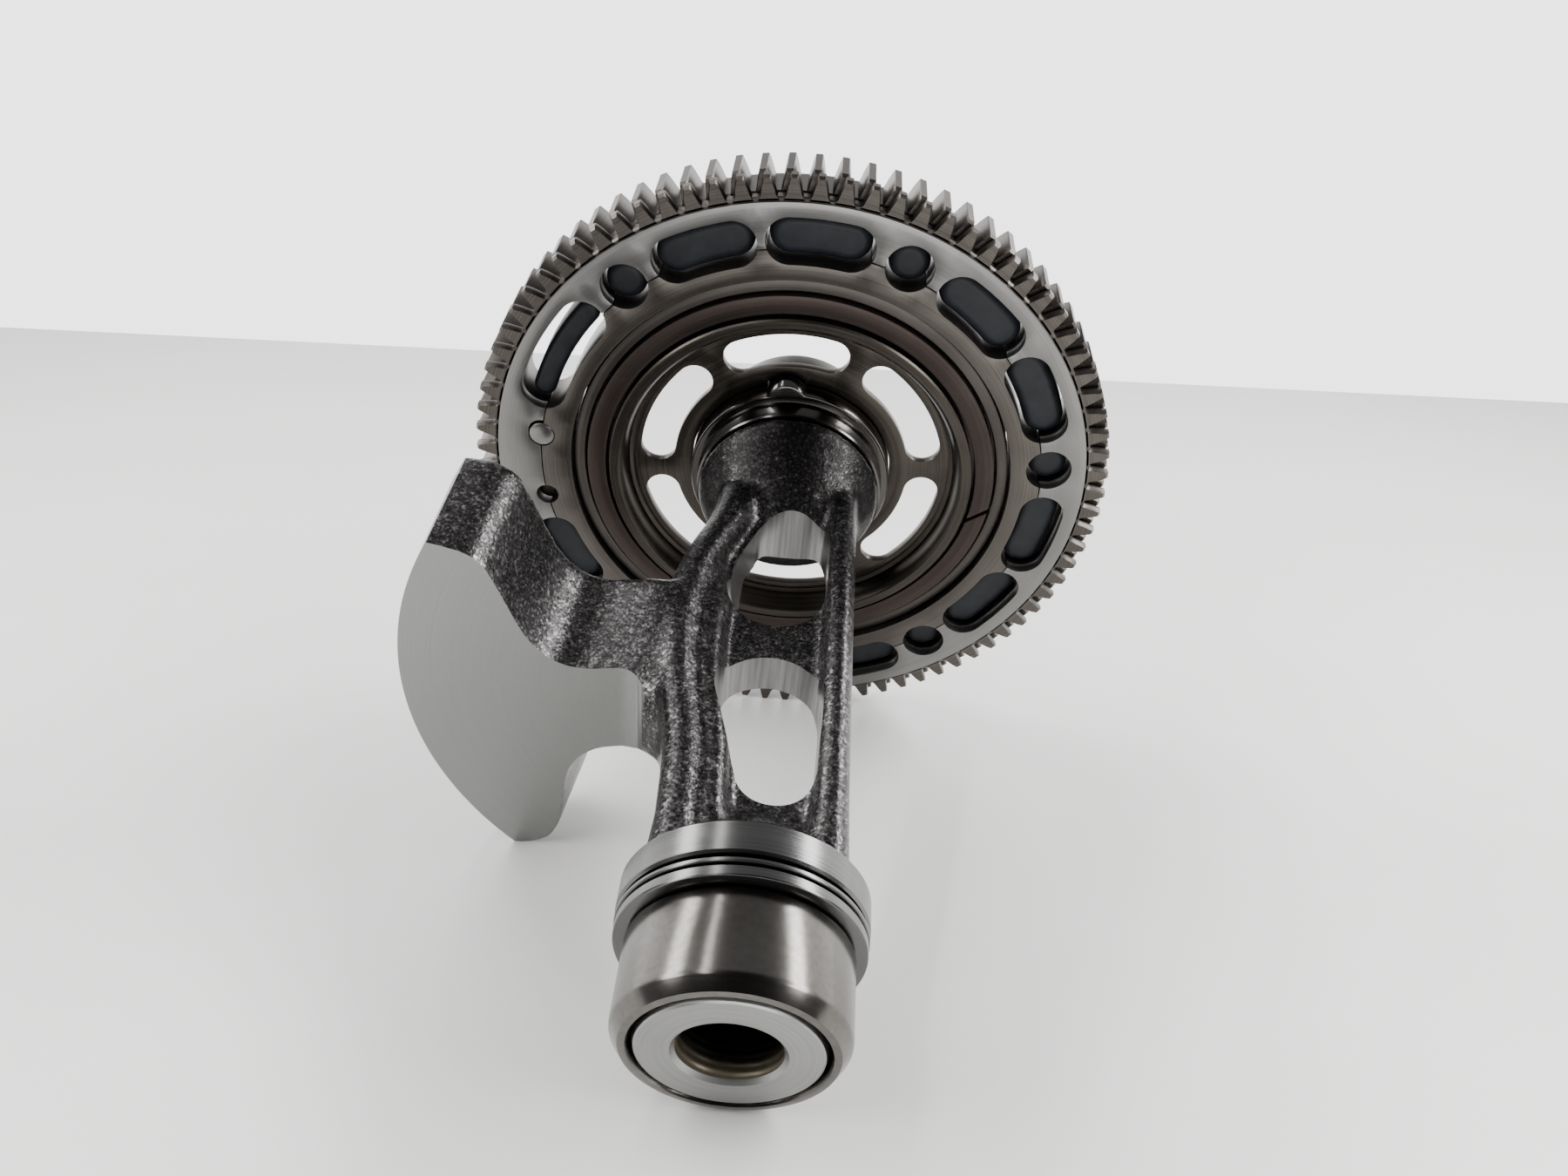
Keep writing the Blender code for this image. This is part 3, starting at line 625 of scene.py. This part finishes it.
lobe_rows = ((0.45, SEAT_FRONT), (0.12, SEAT_FRONT + 0.12), (0.0, SEAT_FRONT + 0.45), (0.0, SEAT_BACK - 0.3))
seat_lobe = loft("seat_lobe", [lobed_ring(SEAT_R + 0.05 - inset, LOBE_RISE, LOBE_R - inset, y)
                               for inset, y in lobe_rows], SEAT)
soften(seat_lobe, 28)
belongs(seat_lobe, "shaft", "ground_steel")
belongs(turned("rear_journal", [
    (0, SEAT_BACK - 1.0), (JOURNAL_R, SEAT_BACK - 1.0), (JOURNAL_R, -0.7), (JOURNAL_R - 0.6, 0), (0, 0)],
    BRIGHT), "shaft", "ground_steel")
belongs(turned("front_collar", [
    (0, COLLAR_BACK + 0.6), (COLLAR_R - 2.6, COLLAR_BACK + 0.5), (COLLAR_R - 0.7, COLLAR_BACK),
    (COLLAR_R - 0.3, COLLAR_BACK - 0.15), (COLLAR_R, COLLAR_BACK - 0.6), (COLLAR_R, COLLAR_FRONT + 0.5),
    (COLLAR_R - 0.4, COLLAR_FRONT), (0, COLLAR_FRONT)], TURNED), "shaft", "ground_steel")

BORE_R, BORE_DEPTH, THREAD_PITCH = 8.1, 24.0, 1.4


def bore_metal():
    """The threaded centre bore: dark metal, painted lighter brass-brown near its mouth as painted light and
    darker deeper in as painted shade.
    """
    finish = Finish("bore_steel", Metallic=0.6)
    here, _, angle, length = finish.place()
    turns = length * (2 * math.pi / (THREAD_PITCH * MM)) + angle
    thread = turns.math("SINE", turns)
    cloud = finish.noise(here, 160.0, 2.0)
    # Painted light and shade: the colour is lighter brass-brown near the bore's mouth and darker deeper in.
    mouth_light = (length * -1.0 - 0.1736) * 250.0
    tint = cloud * 0.35 + mouth_light * 0.65
    colour = finish.colours(tint, (0.15, (0.012, 0.010, 0.007)), (0.75, (0.25, 0.22, 0.155)))
    finish.feed(finish.shader, {"Base Color": colour, "Roughness": cloud * 0.2 + 0.30})
    finish.bump(thread, 0.0001, 0.5)
    return finish.material


front_end = turned("front_journal", [
    (0, COLLAR_FRONT + 0.5), (JOURNAL_R, COLLAR_FRONT + 0.5), (JOURNAL_R, END + 1.3),
    (JOURNAL_R - 0.35, END + 0.25), (JOURNAL_R - 0.7, END), (BORE_R + 1.0, END), (BORE_R + 0.85, END + 0.15),
    (BORE_R + 0.3, END + 0.75), (BORE_R, END + 3.6), (BORE_R, END + BORE_DEPTH), (0, END + BORE_DEPTH + 4.0)],
    BRIGHT)
front_end.data.materials.append(bore_metal())
for face in front_end.data.polygons:
    middle = face.center / MM
    in_bore = END + 0.7 < middle.y < END + BORE_DEPTH + 5.0
    if math.hypot(middle.x, middle.z) < BORE_R + 0.29 and in_bore:
        face.material_index = 1
belongs(front_end, "shaft", "ground_steel")

# ---- Races and rings ----
# Hardened bearing races pressed on the journals, polished bright. A thrust washer and a thin spacer ring
# stand between the front race and the collar, with narrow dark grooves between them.

def race_metal():
    """Polished dark steel with a faint smoky tint and hair-fine scratches round it."""
    finish = Finish("race_steel", Metallic=1.0)
    here, radius, angle, length = finish.place()
    around = {0: radius * 6000.0, 1: length * 6000.0, 2: angle * 0.8}
    track = finish.node("ShaderNodeCombineXYZ", None, around)
    scratch = finish.noise(track, 1.0, 4.0, 0.7)
    smoke = finish.noise(here, 38.0, 3.0)
    speck = finish.noise(here, 900.0, 2.0)
    tint = smoke * 0.7 + speck * 0.3
    colour = finish.colours(tint, (0.35, (0.088, 0.081, 0.074)), (0.7, (0.145, 0.138, 0.130)))
    finish.feed(finish.shader, {"Base Color": colour, "Roughness": scratch * 0.12 + smoke * 0.06 + 0.11})
    finish.bump(scratch, 0.0000025)
    return finish.material


RACE = race_metal()
RACE_R, RING_BORE_R = 18.75, 15.3


def race(name, node, nose, tail):
    """A race with a long chamfer on its outer end."""
    way = 1 if tail > nose else -1
    belongs(turned(name, [
        (RING_BORE_R + 0.55, nose), (RACE_R - 2.05, nose), (RACE_R - 1.7, nose + way * 0.12),
        (RACE_R - 0.3, nose + way * 2.05), (RACE_R - 0.09, nose + way * 2.45), (RACE_R, nose + way * 2.95),
        (RACE_R, tail - way * 0.7), (RACE_R - 0.15, tail - way * 0.25), (RACE_R - 0.55, tail),
        (RING_BORE_R, tail), (RING_BORE_R, nose + way * 1.2), (RING_BORE_R + 0.3, nose + way * 0.3)], RACE),
        "shaft", "race_steel", node)


race("front_bearing_race", "front_race", END + 0.1, -160.4)
race("rear_bearing_race", "rear_race", -0.1, -17.2)


def flat_ring(name, node, material, inner, outer, front, back, edge):
    """A flat ring with its edges broken."""
    belongs(turned(name, [
        (inner, front + edge), (inner + edge, front), (outer - edge * 1.3, front),
        (outer - edge * 0.4, front + edge * 0.35), (outer, front + edge), (outer, back - edge),
        (outer - edge, back), (inner + edge, back), (inner, back - edge)], material),
        "shaft", "ground_steel", node)


def front_and_back(node):
    near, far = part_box(node)
    return near[1] / MM, far[1] / MM


thin_rings = (("thrust_ring", "thrust_washer", 0.3, 0.3), ("thin_spacer", "spacer_ring", 0.1, 0.22))
for name, node, inset, edge in thin_rings:
    flat_ring(name, node, TURNED, RING_BORE_R, COLLAR_R - inset, *front_and_back(node), edge)

# ---- The hub ----
# Turned from steel bar and dark with oil: a boss on the seat, a thin web with six kidney-shaped windows,
# a rim with a groove for two rings in front of its flange.

HUB = turned_metal("hub_steel", (0.030, 0.0258, 0.0222), (0.072, 0.064, 0.056), 0.34, 2600.0, 0.000004)
WEB_FRONT = GEAR_FACE + 5.6
WEB_BACK = WEB_FRONT + 2.0
MAIN_BACK = GEAR_FACE + 12.8  # back of the hub's rim and of the gears
RIM_INNER = 38.8
KIDNEY_INNER, KIDNEY_OUTER, KIDNEY_REACH, KIDNEY_PHASE = 28.2, 36.5, 18.6, 36.5


def polar(radius, degrees):
    return (radius * math.cos(math.radians(degrees)), radius * math.sin(math.radians(degrees)))


def arc(centre, radius, start, end, steps):
    around = [polar(radius, start + (end - start) * i / steps) for i in range(steps + 1)]
    return [(centre[0] + x, centre[1] + z) for x, z in around]


def plate(name, outer, holes, front, back, material, bevel=0.13):
    """A flat plate with holes, its edges rounded over."""
    sheet = bmesh.new()
    for outline in [outer] + holes:
        loop = [sheet.verts.new((x * MM, front * MM, z * MM)) for x, z in outline]
        for start, end in zip(loop, loop[1:] + loop[:1]):
            sheet.edges.new((start, end))
    bmesh.ops.triangle_fill(sheet, use_beauty=True, edges=sheet.edges[:])
    grown = bmesh.ops.extrude_face_region(sheet, geom=sheet.faces[:])["geom"]
    moved = [part for part in grown if isinstance(part, bmesh.types.BMVert)]
    bmesh.ops.translate(sheet, verts=moved, vec=(0.0, (back - front) * MM, 0.0))
    bmesh.ops.recalc_face_normals(sheet, faces=sheet.faces)
    mesh = bpy.data.meshes.new(name)
    sheet.to_mesh(mesh)
    sheet.free()
    mesh.materials.append(material)
    made = bpy.data.objects.new(name, mesh)
    bpy.context.scene.collection.objects.link(made)
    round_over = made.modifiers.new("Bevel", "BEVEL")
    round_over.width = bevel * MM
    round_over.segments = 2
    round_over.limit_method = "ANGLE"
    round_over.angle_limit = math.radians(50)
    bake(made)
    soften(made, 32)
    return made


hub_rim = turned("gear_hub_rim", [
    (41.1, GEAR_FACE - 0.4), (42.9, GEAR_FACE - 0.4), (43.3, GEAR_FACE), (43.3, GEAR_FACE + 4.6),
    (52.1, GEAR_FACE + 4.6), (52.1, MAIN_BACK - 0.4), (51.7, MAIN_BACK), (41.4, MAIN_BACK),
    (39.6, MAIN_BACK - 1.4), (RIM_INNER - 0.5, WEB_BACK), (RIM_INNER - 0.5, WEB_FRONT),
    (39.1, WEB_FRONT - 0.5), (39.4, GEAR_FACE + 3.4), (39.8, GEAR_FACE + 1.6), (40.5, GEAR_FACE + 0.1)],
    HUB, 220)
belongs(hub_rim, "shaft", "hub_steel", "gear_hub")

lobe_hole = [(x, z) for x, y, z in lobed_ring(SEAT_R + 0.35, LOBE_RISE + 0.1, LOBE_R + 0.5, 0.0)]
kidneys = []
kidney_half = (KIDNEY_OUTER - KIDNEY_INNER) / 2
kidney_middle = (KIDNEY_OUTER + KIDNEY_INNER) / 2
for k in range(6):
    middle = KIDNEY_PHASE + 60 * k
    low, high = middle - KIDNEY_REACH, middle + KIDNEY_REACH
    outline = arc(polar(kidney_middle, high), kidney_half, high, high + 180, 14)
    outline += arc((0, 0), KIDNEY_INNER, high, low, 14)[1:-1]
    outline += arc(polar(kidney_middle, low), kidney_half, low + 180, low + 360, 14)
    outline += arc((0, 0), KIDNEY_OUTER, low, high, 16)[1:-1]
    kidneys.append(outline)
hub_web = plate("gear_hub_web", arc((0, 0), RIM_INNER, 0, 360, 180)[:-1], [lobe_hole] + kidneys,
                WEB_FRONT, WEB_BACK, HUB, 0.45)
belongs(hub_web, "shaft", "hub_steel")
belongs(turned("gear_hub_boss", [
    (24.0, WEB_BACK - 0.3), (25.8, WEB_BACK - 0.3), (26.0, WEB_BACK + 0.4), (26.0, SEAT_BACK - 0.5),
    (25.5, SEAT_BACK), (24.4, SEAT_BACK), (24.0, SEAT_BACK - 0.4)], HUB), "shaft", "hub_steel")

# ---- Rings in the hub's groove ----
# A split friction ring of sintered metal, reddish and matt, sprung into the groove with a slanted gap, and
# outside it a plain steel snap ring that is set deeper.

FRICTION = turned_metal("friction_ring", (0.028, 0.0205, 0.0182), (0.050, 0.038, 0.034), 0.40, 1500.0,
                        0.000006, metallic=0.85)
SPLIT_OUTER, SPLIT_INNER = 48.6, 44.2
outer_end, inner_end, half_gap = -3.5, -8.5, 0.75
split_outline = arc((0, 0), SPLIT_OUTER, outer_end + half_gap, outer_end - half_gap + 360, 200)
split_outline += arc((0, 0), SPLIT_INNER, inner_end - half_gap + 360, inner_end + half_gap, 200)
belongs(plate("split_ring", split_outline, [], GEAR_FACE + 0.5, GEAR_FACE + 4.2, FRICTION, 0.2),
        "shaft", "friction_ring", "split_friction_ring")
SNAP = turned_metal("snap_ring_steel", (0.045, 0.040, 0.036), (0.085, 0.077, 0.070), 0.38, 1800.0)
flat_ring("snap_ring", "hub_snap_ring", SNAP, 49.1, 51.9, GEAR_FACE + 1.5, GEAR_FACE + 3.9, 0.3)

# ---- Gear plates and the inner ring ----
# Two toothed steel plates round an inner ring, held by a dowel pin. The dampers' slots lie half in the gears
# and half in the ring, so the seam runs from slot to slot. The thin front gear is ground bright, and the ring
# and the thick gear are oily grey-brown.

SEAM_R, SLOT_R, SLOT_HALF = 59.6, 61.25, 5.24
ROUND_PHASE, SLOT_STEP, SLOT_REACH = 10.3, 18.3, 6.05
NARROW_AT, NARROW_REACH = 152.5, 9.45
DOWEL_AT, DOWEL_R = 174.0, 3.0
TOOL_HOLE_AT, TOOL_HOLE_R = 190.8, 2.65


def seam_side(outward, angle, reach, centre_r=SLOT_R, half=SLOT_HALF, back=None, seam=SEAM_R):
    """One side of a slot where the seam cuts it, by rising angle."""
    back = reach if back is None else back
    split = math.degrees(math.acos((seam**2 - centre_r**2 - half**2) / (2 * centre_r * half)))
    far = 0 if outward else 180
    low, high = angle - back, angle + reach
    points = arc(polar(centre_r, low), half, low - split, low - far, 12)
    edge = centre_r + (half if outward else -half)
    steps = max(1, round(high - low))
    points += [polar(edge, low + (high - low) * i / steps) for i in range(1, steps)]
    last = arc(polar(centre_r, high), half, high + far, high + split, 12)
    return points + (last if high > low else last[1:])


def seam_round(outward, features, seam=SEAM_R):
    """The whole seam: the slots' sides joined by arcs."""
    points = []
    for i, feature in enumerate(features):
        points += seam_side(outward, seam=seam, **feature)
        following = seam_side(outward, seam=seam, **features[(i + 1) % len(features)])[0]
        start = math.degrees(math.atan2(points[-1][1], points[-1][0]))
        span = (math.degrees(math.atan2(following[1], following[0])) - start) % 360
        steps = max(1, round(span / 1.5))
        points += [polar(seam, start + span * k / steps) for k in range(1, steps)]
    return points


# A round hole and two slots stand in each sixth of the ring, but for the sixth with the dowel.
round_at = [ROUND_PHASE + 60 * k for k in (0, 1, 2, 4, 5)]
long_at = [(ROUND_PHASE + 60 * k + side * SLOT_STEP) % 360 for k in range(6) for side in (-1, 1)]
long_at = [a for a in long_at if abs(a - NARROW_AT) > 6 and abs(a - DOWEL_AT) > 6]
slots = [dict(angle=a, reach=SLOT_REACH) for a in long_at] + [dict(angle=NARROW_AT, reach=NARROW_REACH)]
round_holes = [dict(angle=a % 360, reach=0.0) for a in round_at]
tool_hole = dict(angle=TOOL_HOLE_AT, reach=0.0, centre_r=SEAM_R, half=TOOL_HOLE_R)
openings = slots + round_holes + [tool_hole]


def dowel_hole(reach, back):
    return dict(angle=DOWEL_AT, reach=reach, back=back, centre_r=SEAM_R, half=DOWEL_R + 0.12)


def in_order(features):
    return sorted(features, key=lambda feature: feature["angle"])


def one_tooth(name, phase, front, back, chamfer, material):
    """A tooth with curved flanks and a chamfered front, standing at the phase angle."""
    half_widths = ((69.9, 2.5), (70.5, 2.0), (71.0, 1.74), (71.8, 1.56), (72.9, 1.36), (74.0, 1.10),
                   (74.9, 0.84), (75.2, 0.72))
    loops = []
    for inset, y in ((chamfer, front), (0.0, front + chamfer * 1.1), (0.0, back - 0.3), (0.3, back)):
        side = [(radius - inset * max(0.0, (radius - 72.0) / 3.2), half - inset * 0.3)
                for radius, half in half_widths]
        upper = [(radius, y, half) for radius, half in side]
        loops.append(upper + [(radius, y, -half) for radius, half in reversed(side)])
    tooth = loft(name, loops, material)
    tooth.data.transform(Matrix.Rotation(-math.radians(phase), 4, "Y"))
    return tooth


def tooth_ring(tooth, teeth, material):
    """Repeats one tooth round the shaft's axis with Geometry Nodes."""
    tree = bpy.data.node_groups.new("tooth_ring", "GeometryNodeTree")
    tree.is_modifier = True
    tree.interface.new_socket("Tooth", in_out="INPUT", socket_type="NodeSocketGeometry")
    count_in = tree.interface.new_socket("Teeth", in_out="INPUT", socket_type="NodeSocketInt")
    metal_in = tree.interface.new_socket("Metal", in_out="INPUT", socket_type="NodeSocketMaterial")
    tree.interface.new_socket("Ring", in_out="OUTPUT", socket_type="NodeSocketGeometry")
    new, link = tree.nodes.new, tree.links.new
    given = new("NodeGroupInput")
    made = new("NodeGroupOutput")
    centres = new("GeometryNodePoints")
    index = new("GeometryNodeInputIndex")
    turn = new("ShaderNodeMath")
    turn.operation = "DIVIDE"
    turn.inputs[0].default_value = 2 * math.pi
    angle = new("ShaderNodeMath")
    angle.operation = "MULTIPLY"
    about = new("ShaderNodeCombineXYZ")
    copies = new("GeometryNodeInstanceOnPoints")
    real = new("GeometryNodeRealizeInstances")
    coat = new("GeometryNodeSetMaterial")
    link(given.outputs["Teeth"], centres.inputs["Count"])
    link(given.outputs["Teeth"], turn.inputs[1])
    link(index.outputs[0], angle.inputs[0])
    link(turn.outputs[0], angle.inputs[1])
    link(angle.outputs[0], about.inputs["Y"])
    link(centres.outputs[0], copies.inputs["Points"])
    link(given.outputs["Tooth"], copies.inputs["Instance"])
    link(about.outputs[0], copies.inputs["Rotation"])
    link(copies.outputs[0], real.inputs[0])
    link(real.outputs[0], coat.inputs["Geometry"])
    link(given.outputs["Metal"], coat.inputs["Material"])
    link(coat.outputs[0], made.inputs[0])
    repeat = tooth.modifiers.new("Teeth", "NODES")
    repeat.node_group = tree
    repeat[count_in.identifier] = teeth
    repeat[metal_in.identifier] = material
    bake(tooth)
    soften(tooth, 30)
    return tooth


TEETH, TOOTH_PHASE, TOOTH_OFFSET, BAND_R = 84, 68.25, 0.8, 69.8
SILVER = turned_metal("silver_plate", (0.165, 0.162, 0.156), (0.22, 0.217, 0.210), 0.36, 3000.0, 0.000003)
GEAR = turned_metal("gear_steel", (0.062, 0.055, 0.049), (0.115, 0.104, 0.094), 0.36, 2600.0, 0.000004)
MAIN_FRONT = GEAR_FACE + 3.1


def gear(name, node, body, phase, front, back, step_depth, dowel, face_metal, slot_name):
    """A toothed plate: a flat ring with the slots, and its teeth stood round a lower band."""
    seam = seam_round(True, in_order(openings + [dowel]))
    ring = plate(name, arc((0, 0), BAND_R, 0, 360, 240)[:-1], [seam], front, back, face_metal)
    belongs(ring, body, slot_name, node)
    step = front + step_depth
    band = turned(name + "_band", [
        (BAND_R - 0.6, step), (BAND_R + 0.55, step), (BAND_R + 0.95, step + 0.35),
        (BAND_R + 0.95, back - 0.3), (BAND_R + 0.6, back), (BAND_R - 0.6, back)], GEAR, 336)
    belongs(band, body, slot_name)
    tooth = one_tooth(name + "_teeth", phase, step, back, 0.55, GEAR)
    belongs(tooth_ring(tooth, TEETH, GEAR), body, slot_name)


gear("antilash_plate", "antilash_gear", "antilash", TOOTH_PHASE, GEAR_FACE, GEAR_FACE + 2.8, 0.4,
     dowel_hole(0.0, 0.8), SILVER, "silver_plate")
gear("driven_gear_wheel", "main_gear", "driven_gear", TOOTH_PHASE + TOOTH_OFFSET, MAIN_FRONT, MAIN_BACK, 0.3,
     dowel_hole(0.6, 0.6), GEAR, "gear_steel")

DAMPER_RING_BORE = 52.4
ring_outer = seam_round(False, in_order(openings + [dowel_hole(0.0, 0.0)]), SEAM_R - 0.22)
ring_bore = arc((0, 0), DAMPER_RING_BORE, 0, 360, 200)[:-1]
belongs(plate("damper_ring", ring_outer, [ring_bore], GEAR_FACE, MAIN_BACK, GEAR),
        "shaft", "gear_steel", "inner_damper_ring")
dowel_x, dowel_z = polar(SEAM_R, DOWEL_AT)
dowel_rows = ((0.25, GEAR_FACE), (0.0, GEAR_FACE + 0.25), (0.0, MAIN_BACK - 0.25), (0.25, MAIN_BACK))
dowel_loops = [ring_points(DOWEL_R - inset, 48, y, (dowel_x, dowel_z)) for inset, y in dowel_rows]
dowel = loft("dowel", dowel_loops, SILVER)
soften(dowel, 50)
belongs(dowel, "shaft", "ground_steel", "dowel_pin")

# ---- Rubber dampers ----
# Moulded black rubber blocks that fill the slots and carry the load between the gear and the inner ring.
# Their faces are crowned and set back behind the thin gear.

DAMPER_FRONT, DAMPER_BACK = GEAR_FACE + 3.05, GEAR_FACE + 12.2
DAMPER_HALF, NARROW_HALF = 4.54, 2.6


def rubber():
    """Black rubber with a faint bluish bloom."""
    finish = Finish("damper_rubber", Metallic=0.0)
    finish.feed(finish.shader, {"Specular IOR Level": 0.3})
    here = finish.here()
    bloom = finish.noise(here, 220.0, 3.0)
    grain = finish.noise(here, 2600.0, 2.0)
    colour = finish.colours(bloom, (0.3, (0.006, 0.0072, 0.0098)), (0.75, (0.015, 0.018, 0.024)))
    finish.feed(finish.shader, {"Base Color": colour, "Roughness": bloom * 0.2 + 0.38})
    finish.bump(grain, 0.00002, 0.6)
    return finish.material


RUBBER = rubber()


def damper_loop(angle, reach, half):
    """The block's outline: two round ends and two arcs about the shaft's axis."""
    low, high = angle - reach, angle + reach
    points = arc(polar(SLOT_R, high), half, high, high + 180, 14)
    side = max(1, round(reach * 2))
    if reach:
        points += arc((0, 0), SLOT_R - half, high, low, side)[1:-1]
    points += arc(polar(SLOT_R, low), half, low + 180, low + 360, 14)[0 if reach else 1:]
    if reach:
        points += arc((0, 0), SLOT_R + half, low, high, side)[1:-1]
    else:
        points.pop()
    return points


def damper(node, angle, reach, half):
    """A pillow-shaped block: the crowned front and back close in to a flat middle."""
    crown = min(2.2, half * 0.6)
    bends = [math.pi / 2 * k / 7 for k in range(8)]
    levels = [(crown * (1 - math.sin(bend)), crown * 0.85 * (1 - math.cos(bend))) for bend in bends]
    rows = [(inset, DAMPER_FRONT + depth) for inset, depth in levels]
    rows += [(inset, DAMPER_BACK - depth) for inset, depth in reversed(levels)]
    loops = [[(x, y, z) for x, z in damper_loop(angle, reach, half - inset)] for inset, y in rows]
    made = loft(node.replace("damper", "rubber"), loops, RUBBER)
    soften(made, 60)
    belongs(made, "shaft", "damper_rubber", node)


for number, feature in enumerate(in_order(slots), 1):
    narrow = feature["angle"] == NARROW_AT
    reach = feature["reach"] + (1.2 if narrow else 0.0)
    damper(f"slot_damper_{number:02d}", feature["angle"], reach, NARROW_HALF if narrow else DAMPER_HALF)
for number, feature in enumerate(in_order(round_holes), 1):
    damper(f"round_damper_{number}", feature["angle"], 0.0, DAMPER_HALF)
